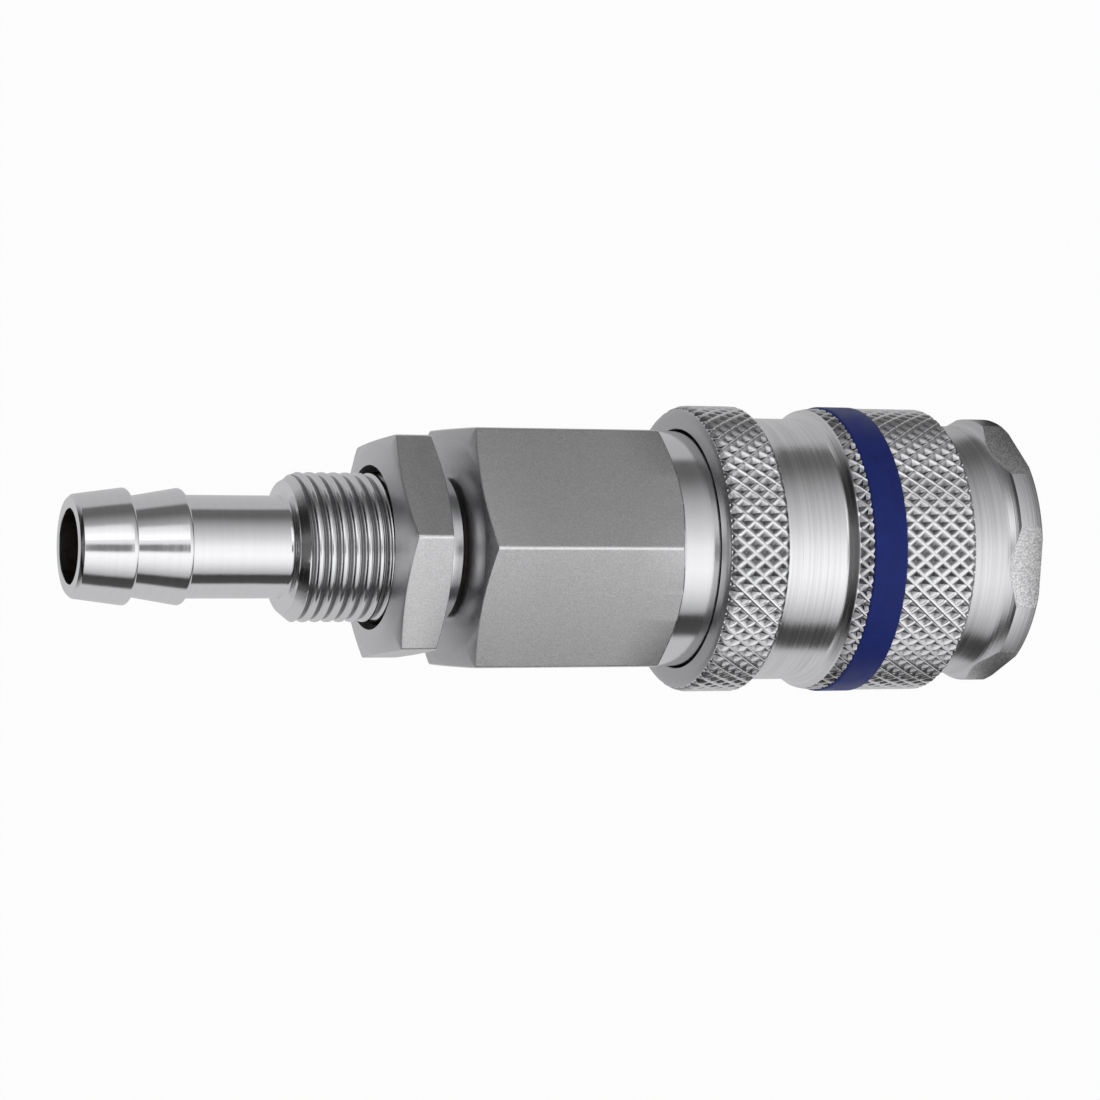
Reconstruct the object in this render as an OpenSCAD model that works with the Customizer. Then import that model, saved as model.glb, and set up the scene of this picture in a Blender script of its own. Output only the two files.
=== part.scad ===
// Air quick coupling with a sliding sleeve, a bulkhead thread and a hose tail.
// It stands on the flat face of its mouth. Z is the axis, and the hose tail points up.

/* [Mouth] */
// Depth of the six flats of the collar
flat_depth = 0.5; // [0.2:0.05:1]
// Length of the collar
collar_len = 2; // [1:0.1:4]
// Depth of the neck below the collar
neck_depth = 0.6; // [0.3:0.05:1.2]
// Length of the neck, up to the sleeve's stop
neck_len = 4.55; // [3:0.05:8]
// Radius of the fillet between the collar and the neck
neck_fillet = 1.8; // [0.8:0.1:2.5]
// Step from the ball cage's bore out to the bore that guides the plug
mouth_step = 0.95; // [0.5:0.05:1.5]

/* [Ball lock] */
// Diameter of the locking balls
ball_d = 3.5; // [3.2:0.1:3.7]
// Wall of the ball cage
cage_wall = 2.6; // [2.4:0.05:2.8]
// Distance from the sleeve's front edge to the ball plane
ball_depth = 4.25; // [3.8:0.05:5]
// How far the sleeve slides back to let the plug go
travel = 2.3; // [1.8:0.1:3]

/* [Sleeve] */
// Diameter over the knurl
knurl_d = 23.4; // [21:0.1:26]
// Ridges of the knurl in each of its two directions
knurl_count = 57; // [40:1:72]
// Depth of the knurl's pits
knurl_depth = 0.26; // [0.15:0.01:0.3]
// Length of the front knurl
front_knurl_len = 6.1; // [5:0.05:9]
// Width of the colour ring
ring_w = 2.95; // [1.5:0.05:5]
// Depth of the colour ring's groove
ring_depth = 0.73; // [0.4:0.01:0.9]
// How far the colour ring stands proud of the knurl
ring_proud = 0.08; // [0:0.01:0.3]
// Length of the rounded shoulder behind the colour ring, knurled but for its end
shoulder_len = 2.35; // [1.5:0.05:4]
// Length of the smooth grip groove
grip_len = 4.95; // [4:0.05:9]
// Depth of the grip groove below the knurl
grip_depth = 0.95; // [0.5:0.05:1.2]
// Length of the rear knurl
rear_knurl_len = 5.3; // [4:0.1:9]
// Radius of the sleeve's rear edge
sleeve_round = 0.9; // [0.4:0.1:1.2]
// Wall of the sleeve under the grip groove
sleeve_wall = 0.7; // [0.5:0.05:1.5]

/* [Rear body] */
// Width across the flats of the hexagon
hex_af = 19; // [18:0.1:22]
// Length of the hexagon
hex_len = 16.85; // [15:0.05:24]
// Room between the drawn-back sleeve and the hexagon
hex_gap = 0.65; // [0.2:0.05:2]
// Length of the round collar under the sleeve
rear_collar_len = 5.85; // [5:0.05:7]
// Room between the round collar and the sleeve
collar_room = 0.45; // [0.3:0.05:0.6]
// Length of the thread between the two bodies
body_thread_len = 5.5; // [4:0.1:6.5]
// Width of the step that the body seal sits on
seal_step = 2.5; // [1.5:0.1:3]
// Length of the wide air passage behind the valve
passage_len = 5.4; // [3:0.1:9]

/* [Thread and hose tail] */
// Diameter of the bulkhead thread
thread_d = 12; // [11:0.1:14]
// Pitch of the bulkhead thread
thread_pitch = 1; // [0.75:0.25:1.5]
// Length of the bulkhead thread, with its chamfer
thread_len = 13.5; // [12:0.1:20]
// Length of the chamfer that starts the thread
lead_len = 0.8; // [0.6:0.1:2]
// Length of the groove between the hexagon and the thread
neck_gap = 0.6; // [0.4:0.05:2]
// Outside diameter of the tube
tube_d = 8.2; // [7.4:0.1:9]
// Wall of the tube
tube_wall = 1.05; // [0.7:0.05:1.5]
// Length from the thread to the edge of the inner barb
tube_len = 8.2; // [6:0.1:14]
// Radius of the fillet between the tube and the thread
tube_fillet = 0.8; // [0.4:0.1:1.2]
// Height of the barbs over the tube
barb_rise = 0.475; // [0.3:0.025:0.8]
// Depth of the root between the barbs, below the tube
root_depth = 0.3; // [0:0.05:0.5]
// Distance from one barb to the next
barb_pitch = 4.2; // [3:0.1:6]
// Length of the steep side of a barb
barb_back = 0.85; // [0.3:0.05:1.5]
// Length of the cone at the tip
cone_len = 4.1; // [3:0.1:6]
// Length of the tip's chamfer
tip_len = 0.3; // [0.2:0.05:0.6]

/* [Jam nut] */
// Width across the flats of the nut
nut_af = 17; // [16:0.1:20]
// Thickness of the nut
nut_h = 3.7; // [3:0.1:6]
// Distance from the start of the thread to the nut
nut_place = 2.2; // [0.2:0.1:6]
// Depth of the nut's countersinks
nut_sink = 0.5; // [0.2:0.05:0.8]

/* [Valve and seals] */
// Wall of the front body inside the screw joint
chamber_wall = 1.2; // [1:0.05:1.5]
// Length of the plug seal
plug_seal_len = 2.8; // [2:0.1:3.5]
// Width of the plug seal's ring
plug_seal_w = 2.35; // [2:0.05:2.5]
// Length of the seal retainer
retainer_len = 2; // [1.4:0.1:3]
// Width of the seal retainer's ring
retainer_w = 1.7; // [1.5:0.05:1.9]
// Room for the air round the valve's head
head_room = 0.8; // [0.6:0.05:1]
// Thickness of the valve's head
valve_head_len = 1.4; // [1:0.1:2]
// Thickness of the valve's seal
valve_seal_len = 1; // [0.6:0.1:1.5]
// Room for the air round the valve's nose
nose_room = 1; // [0.8:0.05:1.2]
// Length of the valve's nose in front of its seat
valve_nose_len = 4.6; // [3.6:0.1:4.7]
// Wall of the valve's nose
nose_wall = 1.1; // [0.8:0.05:1.2]
// Diameter of the valve's stem
stem_d = 3; // [2.6:0.1:3.4]
// How far the stem reaches past its guide
stem_reach = 0.8; // [0.4:0.1:1.5]
// Thickness of the valve guide
guide_len = 2; // [1.5:0.1:3]
// Height of the guide's hub, inside the spring
guide_hub_len = 1.5; // [0.8:0.1:2]
// Diameter of the air holes in the guide
air_hole_d = 2.2; // [1.6:0.1:2.4]
// Thickness of the ring between the guide and the rear body
body_seal_len = 1; // [0.6:0.1:1.5]

/* [Springs] */
// Wire of the sleeve's spring
sleeve_wire = 1.3; // [1:0.05:1.35]
// Turns of the sleeve's spring
sleeve_turns = 4.5; // [3.5:0.5:5]
// Wire of the valve's spring
valve_wire = 0.7; // [0.5:0.05:0.9]
// Mean diameter of the valve's spring
valve_coil_d = 6.4; // [6.2:0.1:7]
// Turns of the valve's spring
valve_turns = 6.5; // [4.5:0.5:7]

/* [Hidden] */

// Colours
turned = [0.82, 0.83, 0.85];
steel = [0.72, 0.73, 0.75];
blue = [0.14, 0.18, 0.4];
rubber = [0.08, 0.08, 0.09];
brass = [0.78, 0.64, 0.36];
wire_grey = [0.55, 0.56, 0.58];

// Radial clearances of screwed, running and loose pieces, and gaps at seats and stops
thread_gap = 0.03;
run_gap = 0.06;
slide_gap = 0.08;
loose_gap = 0.3;
ball_gap = 0.05;
seat_gap = 0.02;
stop_gap = 0.1;

// Chamfers, and how far a cut reaches past what it cuts
edge = 0.4;
fine_edge = 0.25;
cut = 1;

// Slopes of the cones that end a hexagon: beside a collar or a nut's face, and at the rear face
bar_slope = 30;
face_slope = 16;
// Half of a drill's point angle
drill_slope = 59;

// Turn of the corners and flats about the axis, in degrees
hex_turn = -90;
nut_turn = hex_turn + 5;
collar_turn = hex_turn - 8;

// Stations along the axis, from the mouth to the hose tail
neck_z = collar_len + neck_len;
sleeve_z = neck_z + stop_gap;
ball_z = sleeve_z + ball_depth;
ring_z = sleeve_z + front_knurl_len;
shoulder_z = ring_z + ring_w;
grip_z = shoulder_z + shoulder_len;
rear_knurl_z = grip_z + grip_len;
sleeve_end_z = rear_knurl_z + rear_knurl_len;
hex_z = sleeve_end_z + travel + hex_gap;
rear_collar_z = hex_z - rear_collar_len;
front_end_z = rear_collar_z + body_thread_len;
guide_z = front_end_z + seat_gap;
body_seal_z = guide_z + guide_len + seat_gap;
socket_end_z = body_seal_z + body_seal_len + seat_gap;
hex_end_z = hex_z + hex_len;
thread_z = hex_end_z + neck_gap;
thread_end_z = thread_z + thread_len;
nut_z = thread_z + nut_place;
inner_barb_z = thread_end_z + tube_len;
outer_barb_z = inner_barb_z + barb_pitch;
tip_z = outer_barb_z + cone_len;
top_z = tip_z + tip_len;

// Radii from the knurl inwards: the sleeve, its spring, the ball cage, the screw joint and the valve
knurl_r = knurl_d / 2;
grip_r = knurl_r - grip_depth;
sleeve_bore_r = grip_r - sleeve_wall;
rear_collar_r = sleeve_bore_r - collar_room;
spring_room_r = sleeve_bore_r - edge;
sleeve_coil_r = spring_room_r - loose_gap - sleeve_wire / 2;
cage_r = sleeve_coil_r - sleeve_wire / 2 - loose_gap;
cage_bore_r = cage_r - cage_wall;
mouth_r = cage_bore_r + mouth_step;
body_thread_r = cage_r - fine_edge;
chamber_r = body_thread_r - chamber_wall;
valve_head_r = chamber_r - head_room;
retainer_bore_r = chamber_r - retainer_w;
valve_nose_r = retainer_bore_r - nose_room;
passage_r = body_thread_r - seal_step;

// The collar round the mouth is as wide as the hexagon's corners
collar_r = hex_af / sqrt(3);

// Radii of the hose tail
thread_r = thread_d / 2;
tube_r = tube_d / 2;
bore_r = tube_r - tube_wall;

// Ball lock: the sleeve's land holds the balls in, and its pocket lets them out
ball_r = ball_d / 2;
land_r = cage_r + slide_gap;
ball_place_r = land_r - thread_gap - ball_r;
ball_hole_r = ball_r + ball_gap;
ball_stop_r = ball_r - stop_gap;
ball_stop_place_r = ball_place_r - sqrt(pow(ball_r, 2) - pow(ball_stop_r - seat_gap / 2, 2));
ball_lift = cage_bore_r + slide_gap - (ball_place_r - ball_r);
pocket_r = ball_place_r + ball_lift + ball_r + slide_gap;
land_z = ball_z + loose_gap;
land_len = 3;
spring_seat_z = land_z + land_len;

// Arc of the shoulder behind the colour ring
shoulder_drop = grip_depth - slide_gap;
shoulder_arc_r = (pow(shoulder_len, 2) + pow(shoulder_drop, 2)) / (2 * shoulder_drop);

// The bore that guides the plug ends a wall before the balls
ball_wall = 1.25;
mouth_len = ball_z - ball_r - ball_wall;
spring_room_end_z = rear_collar_z - travel - loose_gap;

// Plug seal, its retainer and the valve's head
plug_seal_z = ball_z + ball_d + seat_gap;
retainer_z = plug_seal_z + plug_seal_len + seat_gap;
seat_z = retainer_z + retainer_len + seat_gap;
valve_head_z = seat_z + valve_seal_len + seat_gap;
valve_back_z = valve_head_z + valve_head_len;
stem_end_z = guide_z + guide_len + stem_reach;

// Points on an arc between two angles
function arc(centre, r, from, to, steps = 6) =
    [for (i = [0:steps]) let (a = from + (to - from) * i / steps) centre + r * [cos(a), sin(a)]];

// Points of a concave fillet that drops from one radius to a smaller one, going up from a height
function fillet_up(high_r, low_r, z, r) =
    let (a = acos(max(0, 1 - (high_r - low_r) / r)))
    arc([low_r + r, z + r * sin(a)], r, 180 + a, 180);

// Radius of the rounded shoulder at a distance behind the colour ring
function shoulder_r(past) =
    knurl_r - slide_gap - shoulder_arc_r + sqrt(pow(shoulder_arc_r, 2) - pow(past, 2));

// A solid turned about the axis from its [radius, height] points
module turned_part(points) {
    rotate_extrude($fn = 96) polygon(points);
}

// Hexagon bar that is turned to [radius, height] points at both of its ends
module hex_bar(af, low_points, high_points) {
    low_z = low_points[0].y;
    high_z = high_points[len(high_points) - 1].y;
    intersection() {
        translate([0, 0, low_z]) cylinder(r = af / sqrt(3), h = high_z - low_z, $fn = 6);
        turned_part(concat([[0, low_z]], low_points, high_points, [[0, high_z]]));
    }
}

// Point outside a bar's corners on a cone that leaves the axis at a point, sloping by an angle
function past_corner(af, point, angle) =
    let (reach = af / sqrt(3) + cut)
    [reach, point.x == 0 ? point.y : point.y + (reach - point.x) * tan(angle)];

// Point at a radius, an angle and a height
function polar(r, angle, z) = [r * cos(angle), r * sin(angle), z];

// A solid round the axis with crossed knurls: ridges run both ways from ring to ring, with a pit
// between every four crossings. Each ring is its height, its radius over the ridges and the depth
// of its pits, and a ring without depth is plain.
module knurled_part(rings) {
    columns = 2 * knurl_count;
    last = len(rings) - 1;
    points = [for (j = [0:last], i = [0:columns - 1])
        polar(rings[j][1] - ((i + j) % 2 == 0 ? 0 : rings[j][2]), 360 * i / columns, rings[j][0])];
    walls = [for (j = [0:last - 1], i = [0:columns - 1])
        let (a = j * columns + i, b = j * columns + (i + 1) % columns, c = b + columns, d = a + columns)
        each (i + j) % 2 == 0 ? [[a, d, c], [a, c, b]] : [[a, d, b], [b, d, c]]];
    caps = [[for (i = [0:columns - 1]) i], [for (i = [columns - 1:-1:0]) last * columns + i]];
    polyhedron(points, concat(walls, caps), convexity = 10);
}

// Threaded rod. Four rows of points make one ridge, and each row climbs by one pitch in a turn,
// so the end of a row joins the start of the row four above it. The ridge fades at both ends.
module threaded_rod(crest_r, root_r, end_r, low_z, length, pitch, lead) {
    columns = 32;
    ridges = floor(length / pitch - 1.05);
    last = 4 * ridges;
    high_z = low_z + length;
    extra = (last + 1) * columns;
    low_ring = extra + 4;
    high_ring = low_ring + columns - 1;
    function spot(row, column) =
        let (along = floor(row / 4) + column / columns,
             z = low_z + pitch * (row / 4 + column / columns),
             rise = row % 4 == 1 || row % 4 == 2 ? min(1, 2 * along, 2 * (ridges - along)) : 0,
             cone_r = end_r + (high_z - z) * (crest_r - end_r) / lead)
        polar(min(root_r + (crest_r - root_r) * rise, cone_r), 360 * column / columns, z);
    function at(row, column) =
        column == columns ? at(row + 4, 0) : row > last ? extra + row - last - 1 : row * columns + column;
    function low(column) = column == 0 ? 0 : low_ring + column - 1;
    function high(column) = high_ring + column % columns;
    function quad(a, b, c, d) = [[a, d, c], [a, c, b]];
    points = concat(
        [for (row = [0:last], column = [0:columns - 1]) spot(row, column)],
        [for (row = [last + 1:last + 4]) spot(row, 0)],
        [for (column = [1:columns - 1]) polar(root_r, 360 * column / columns, low_z)],
        [for (column = [0:columns - 1]) polar(end_r, 360 * column / columns, high_z)]);
    ridge = [for (row = [0:last - 1], i = [0:columns - 1])
        each quad(at(row, i), at(row, i + 1), at(row + 1, i + 1), at(row + 1, i))];
    start = concat(
        [[0, at(0, 1), low(1)]],
        [for (i = [1:columns - 2]) each quad(low(i), low(i + 1), at(0, i + 1), at(0, i))],
        [for (row = [0:3]) [low(columns - 1), at(row + 1, 0), at(row, 0)]],
        [[low(columns - 1), at(0, columns - 1), at(4, 0)]]);
    end = concat(
        [for (row = [last:last + 3]) [at(row, 0), at(row + 1, 0), at(last, 1)]],
        [[at(last + 4, 0), high(0), at(last, 1)], [high(0), high(1), at(last, 1)]],
        [for (i = [1:columns - 1]) each quad(at(last, i), at(last, i + 1), high(i + 1), high(i))]);
    caps = [[for (i = [0:columns - 1]) low(i)], [for (i = [columns - 1:-1:0]) high(i)]];
    polyhedron(points, concat(ridge, start, end, caps), convexity = 10);
}

// A plain ring
module ring(outer_r, inner_r, low_z, length) {
    translate([0, 0, low_z]) difference() {
        cylinder(r = outer_r, h = length, $fn = 96);
        translate([0, 0, -cut]) cylinder(r = inner_r, h = length + 2 * cut, $fn = 96);
    }
}

// Height of a coil's centre line after some turns, with both end turns closed
function coil_z(turn, turns, wire, length) =
    let (closed = wire * 1.06, rise = (length - wire - 2 * closed) / (turns - 2))
    wire / 2 + (turn < 1 ? closed * turn
        : turn > turns - 1 ? length - wire - closed * (turns - turn)
        : closed + rise * (turn - 1));

// A spring of round wire, swept ring by ring along its coil
module coil(wire, mean_r, low_z, length, turns, per_turn, sides) {
    last = round(turns * per_turn) * sides;
    points = [for (i = [0:last / sides], k = [0:sides - 1])
        let (turn = i / per_turn, b = 360 * k / sides, r = mean_r + wire / 2 * cos(b))
        [r * cos(360 * turn), r * sin(360 * turn),
         low_z + coil_z(turn, turns, wire, length) + wire / 2 * sin(b)]];
    walls = [for (p = [0:sides:last - sides], k = [0:sides - 1])
        let (n = (k + 1) % sides, q = p + sides)
        each [[p + k, p + n, q + n], [p + k, q + n, q + k]]];
    caps = [for (k = [1:sides - 2]) each [[0, k + 1, k], [last, last + k, last + k + 1]]];
    polyhedron(points, concat(walls, caps), convexity = 10);
}

module front_body() {
    neck_r = collar_r - neck_depth;
    shoulder_end_z = rear_collar_z - seat_gap;
    seal_bed_z = plug_seal_z - seat_gap;
    color(turned) difference() {
        turned_part(concat(
            [[0, 0], [collar_r - fine_edge, 0], [collar_r, fine_edge]],
            fillet_up(collar_r, neck_r, collar_len, neck_fillet),
            [[neck_r, neck_z - fine_edge], [neck_r - fine_edge, neck_z],
             [cage_r, neck_z], [cage_r, shoulder_end_z], [body_thread_r, shoulder_end_z],
             [body_thread_r, front_end_z - edge], [body_thread_r - edge, front_end_z], [0, front_end_z]]));
        // Mouth, bore of the ball cage, and the chamber for the seal and the valve
        turned_part([
            [0, -cut], [mouth_r + edge + cut, -cut], [mouth_r, edge],
            [mouth_r, mouth_len], [cage_bore_r, mouth_len + mouth_step],
            [cage_bore_r, seal_bed_z], [chamber_r, seal_bed_z],
            [chamber_r, front_end_z + cut], [0, front_end_z + cut]]);
        // Flats of the collar
        for (i = [0:5])
            rotate([0, 0, collar_turn + 60 * i])
                translate([collar_r - flat_depth, -collar_r, -cut])
                    cube([2 * collar_r, 2 * collar_r, cut + collar_len + neck_fillet]);
        // Ball holes, each with a narrow mouth that keeps its ball from falling in
        for (i = [0:5])
            rotate([0, 0, 60 * i]) translate([0, 0, ball_z]) rotate([90, 0, 90]) {
                translate([0, 0, ball_stop_place_r]) cylinder(r = ball_hole_r, h = cage_r, $fn = 48);
                cylinder(r = ball_stop_r, h = cage_r, $fn = 48);
            }
    }
}

module sleeve() {
    bed_r = knurl_r - ring_depth;
    rim_r = knurl_r - edge;
    front_rows = 7;
    shoulder_rows = 2;
    rear_rows = 6;
    front_low_z = sleeve_z + edge;
    rear_low_z = rear_knurl_z + edge;
    color(steel) difference() {
        knurled_part(concat(
            // The front knurl, cut off at the colour ring's bed
            [[sleeve_z, rim_r, 0]],
            [for (j = [0:front_rows])
                [front_low_z + (ring_z - front_low_z) * j / front_rows, knurl_r, knurl_depth]],
            [[ring_z, bed_r, 0], [shoulder_z, bed_r, 0]],
            // The rounded shoulder, whose end is plain, and the grip groove
            [for (j = [0:shoulder_rows])
                let (past = (shoulder_len - 2 * fine_edge) * j / shoulder_rows)
                [shoulder_z + past, shoulder_r(past), j == shoulder_rows ? 0 : knurl_depth]],
            [[grip_z, grip_r, 0], [rear_knurl_z, grip_r, 0]],
            // The rear knurl, which fades into a rounded edge
            [[rear_knurl_z, rim_r, 0]],
            [for (j = [0:rear_rows])
                let (z = rear_low_z + (sleeve_end_z - edge - rear_low_z) * j / rear_rows,
                     past = max(0, z - sleeve_end_z + sleeve_round))
                [z, knurl_r - sleeve_round + sqrt(pow(sleeve_round, 2) - pow(past, 2)),
                 j == rear_rows ? knurl_depth / 2 : knurl_depth]],
            [[sleeve_end_z, knurl_r - sleeve_round, 0]]));
        // Inside: the pocket, the land on the balls, the room for the spring and the rear bore
        turned_part([
            [0, sleeve_z - cut], [pocket_r, sleeve_z - cut], [pocket_r, land_z - (pocket_r - land_r)],
            [land_r, land_z], [land_r, spring_seat_z], [spring_room_r, spring_seat_z],
            [spring_room_r, spring_room_end_z - edge], [sleeve_bore_r, spring_room_end_z],
            [sleeve_bore_r, sleeve_end_z - fine_edge], [sleeve_bore_r + fine_edge + cut, sleeve_end_z + cut],
            [0, sleeve_end_z + cut]]);
    }
}

module colour_ring() {
    ring_r = knurl_r + ring_proud;
    bed_r = knurl_r - ring_depth + seat_gap;
    low_z = ring_z + seat_gap;
    high_z = shoulder_z - seat_gap;
    color(blue) turned_part([
        [bed_r, low_z], [ring_r - fine_edge, low_z], [ring_r, low_z + fine_edge],
        [ring_r, high_z - fine_edge], [ring_r - fine_edge, high_z], [bed_r, high_z]]);
}

module rear_body() {
    socket_r = body_thread_r + thread_gap;
    passage_end_z = socket_end_z + passage_len;
    drill_z = passage_end_z + (passage_r - bore_r) / tan(drill_slope);
    root_r = thread_r - 0.6 * thread_pitch;
    lead_r = thread_r - 0.8 * thread_pitch;
    face = [hex_af / 2 - 0.3, hex_end_z];
    barb_r = tube_r + barb_rise;
    color(steel) difference() {
        union() {
            rotate([0, 0, hex_turn]) hex_bar(hex_af,
                [[rear_collar_r - edge, rear_collar_z], [rear_collar_r, rear_collar_z + edge],
                 [rear_collar_r, hex_z], past_corner(hex_af, [rear_collar_r, hex_z], bar_slope)],
                [past_corner(hex_af, face, -face_slope), face]);
            // Run-out groove, bulkhead thread, tube and barbs
            translate([0, 0, hex_end_z - cut])
                cylinder(r = root_r - stop_gap, h = neck_gap + 2 * cut, $fn = 96);
            threaded_rod(thread_r, root_r, lead_r, thread_z, thread_len, thread_pitch, lead_len);
            turned_part(concat(
                [[0, thread_end_z - cut], [tube_r + tube_fillet, thread_end_z - cut]],
                fillet_up(tube_r + tube_fillet, tube_r, thread_end_z, tube_fillet),
                [[tube_r, inner_barb_z - barb_back], [barb_r, inner_barb_z],
                 [tube_r - root_depth, outer_barb_z - barb_back], [barb_r, outer_barb_z],
                 [tube_r, tip_z], [tube_r - 0.6 * tip_len, top_z], [0, top_z]]));
        }
        // Screw socket, air passage and the bore through the tail
        turned_part([
            [0, rear_collar_z - cut], [socket_r, rear_collar_z - cut], [socket_r, socket_end_z],
            [passage_r, socket_end_z], [passage_r, passage_end_z], [bore_r, drill_z],
            [bore_r, top_z + cut], [0, top_z + cut]]);
    }
}

module jam_nut() {
    nut_bore_r = thread_r + run_gap;
    nut_end_z = nut_z + nut_h;
    sink_r = nut_bore_r + nut_sink;
    face = [nut_af / 2 - 0.1, nut_end_z];
    color(steel) difference() {
        rotate([0, 0, nut_turn]) hex_bar(nut_af,
            [past_corner(nut_af, [0, nut_z], 0)], [past_corner(nut_af, face, -bar_slope), face]);
        turned_part([
            [0, nut_z - cut], [sink_r + cut, nut_z - cut], [nut_bore_r, nut_z + nut_sink],
            [nut_bore_r, nut_end_z - nut_sink], [sink_r + cut, nut_end_z + cut],
            [0, nut_end_z + cut]]);
    }
}

// One of the six locking balls, in its hole of the cage
module locking_ball(number) {
    color(turned) rotate([0, 0, 60 * (number - 1)]) translate([ball_place_r, 0, ball_z])
        sphere(r = ball_r, $fn = 48);
}

module sleeve_spring() {
    low_z = spring_seat_z + seat_gap;
    color(wire_grey)
        coil(sleeve_wire, sleeve_coil_r, low_z, rear_collar_z - seat_gap - low_z, sleeve_turns, 20, 6);
}

module plug_seal() {
    outer_r = chamber_r - seat_gap;
    inner_r = chamber_r - plug_seal_w;
    lip = (outer_r - inner_r) * 0.3;
    end_z = plug_seal_z + plug_seal_len;
    color(rubber) turned_part([
        [inner_r, plug_seal_z + lip], [inner_r + lip, plug_seal_z], [outer_r, plug_seal_z],
        [outer_r, end_z], [outer_r - lip, end_z],
        [(outer_r + inner_r) / 2, plug_seal_z + plug_seal_len * 0.45],
        [inner_r + lip, end_z], [inner_r, end_z - lip]]);
}

module seal_retainer() {
    outer_r = chamber_r - seat_gap;
    rim = 0.3;
    end_z = retainer_z + retainer_len;
    color(brass) turned_part([
        [retainer_bore_r, retainer_z], [outer_r, retainer_z], [outer_r, end_z - rim],
        [retainer_bore_r + 4 * rim, end_z - rim], [retainer_bore_r + 3 * rim, end_z],
        [retainer_bore_r + rim, end_z], [retainer_bore_r, end_z - rim]]);
}

module valve_body() {
    stem_r = stem_d / 2;
    nose_z = seat_z - valve_nose_len;
    cross_hole_d = 2.4;
    color(brass) difference() {
        turned_part([
            [0, nose_z], [valve_nose_r - fine_edge, nose_z], [valve_nose_r, nose_z + fine_edge],
            [valve_nose_r, valve_head_z], [valve_head_r, valve_head_z],
            [valve_head_r, valve_back_z - edge], [valve_head_r - edge, valve_back_z],
            [stem_r, valve_back_z], [stem_r, stem_end_z - fine_edge],
            [stem_r - fine_edge, stem_end_z], [0, stem_end_z]]);
        translate([0, 0, nose_z - cut])
            cylinder(r = valve_nose_r - nose_wall, h = valve_nose_len + cut, $fn = 64);
        // Cross holes that let the air past the head
        for (a = [0, 90])
            translate([0, 0, seat_z - edge / 2 - cross_hole_d / 2]) rotate([90, 0, a])
                cylinder(d = cross_hole_d, h = 2 * valve_head_r, center = true, $fn = 48);
    }
}

module valve_seal() {
    color(rubber) ring(valve_head_r, valve_nose_r + seat_gap, seat_z, valve_seal_len);
}

module valve_spring() {
    low_z = valve_back_z + seat_gap;
    color(wire_grey)
        coil(valve_wire, valve_coil_d / 2, low_z, guide_z - seat_gap - low_z, valve_turns, 16, 6);
}

module valve_guide() {
    hub_r = valve_coil_d / 2 - valve_wire / 2 - loose_gap;
    color(brass) difference() {
        union() {
            translate([0, 0, guide_z]) cylinder(r = body_thread_r, h = guide_len, $fn = 96);
            translate([0, 0, guide_z - guide_hub_len]) cylinder(r = hub_r, h = guide_hub_len + cut, $fn = 64);
        }
        translate([0, 0, guide_z - guide_hub_len - cut])
            cylinder(r = stem_d / 2 + run_gap, h = guide_hub_len + guide_len + 2 * cut, $fn = 64);
        for (i = [0:5])
            rotate([0, 0, 60 * i]) translate([hub_r + air_hole_d / 2 + 0.6, 0, guide_z - cut])
                cylinder(d = air_hole_d, h = guide_len + 2 * cut, $fn = 32);
    }
}

module body_seal() {
    color(rubber) ring(body_thread_r, passage_r + edge, body_seal_z, body_seal_len);
}

front_body();
sleeve();
colour_ring();
rear_body();
jam_nut();
locking_ball(1);  // ball_1
locking_ball(2);  // ball_2
locking_ball(3);  // ball_3
locking_ball(4);  // ball_4
locking_ball(5);  // ball_5
locking_ball(6);  // ball_6
sleeve_spring();
plug_seal();
seal_retainer();
valve_body();
valve_seal();
valve_spring();
valve_guide();
body_seal();
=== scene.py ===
import math
import bpy
import numpy as np
from mathutils import Matrix, Vector


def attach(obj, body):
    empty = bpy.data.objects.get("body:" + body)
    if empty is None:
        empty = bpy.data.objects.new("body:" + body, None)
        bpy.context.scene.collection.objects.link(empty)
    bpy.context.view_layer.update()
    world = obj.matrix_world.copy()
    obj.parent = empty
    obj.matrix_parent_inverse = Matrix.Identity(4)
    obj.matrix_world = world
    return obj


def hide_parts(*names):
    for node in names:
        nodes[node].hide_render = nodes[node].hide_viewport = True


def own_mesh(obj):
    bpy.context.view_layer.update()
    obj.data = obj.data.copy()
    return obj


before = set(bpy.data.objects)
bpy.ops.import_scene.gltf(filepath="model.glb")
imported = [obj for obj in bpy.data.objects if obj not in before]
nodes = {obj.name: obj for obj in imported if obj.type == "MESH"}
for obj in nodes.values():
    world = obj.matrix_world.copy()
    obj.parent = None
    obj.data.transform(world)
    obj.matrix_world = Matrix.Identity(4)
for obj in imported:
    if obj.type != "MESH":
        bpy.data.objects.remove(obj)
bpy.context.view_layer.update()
scene = bpy.context.scene

# Sizes in millimetres: heights along the axis, counted from the mouth, radii, and widths across flats (AF)
SLEEVE_Z, RING_Z, SHOULDER_Z, GRIP_Z, REAR_KNURL_Z, SLEEVE_END = 6.35, 12.75, 15.7, 17.65, 23.0, 28.3
KNURL_R, GRIP_R, SLEEVE_BORE_R, POCKET_R = 11.7, 10.75, 10.05, 8.81
SPRING_ROOM_R, SPRING_SEAT_Z, LAND_R, LAND_Z, SPRING_ROOM_END = 9.65, 14.2, 7.83, 11.2, 22.8
HEX_AF, HEX_Z, HEX_END, REAR_COLLAR_Z, REAR_COLLAR_R = 19.0, 31.25, 48.1, 25.4, 9.6
THREAD_Z, THREAD_END, THREAD_R, PITCH = 48.45, 61.85, 5.93, 1.0
NUT_Z, NUT_H, NUT_AF = 50.9, 3.7, 17.0
TUBE_R, BARB_R, ROOT_R, TIP_R, BORE_R, TOP = 4.05, 4.575, 3.88, 4.06, 2.95, 79.0
INNER_CREST, OUTER_CREST = 70.45, 74.85
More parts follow.
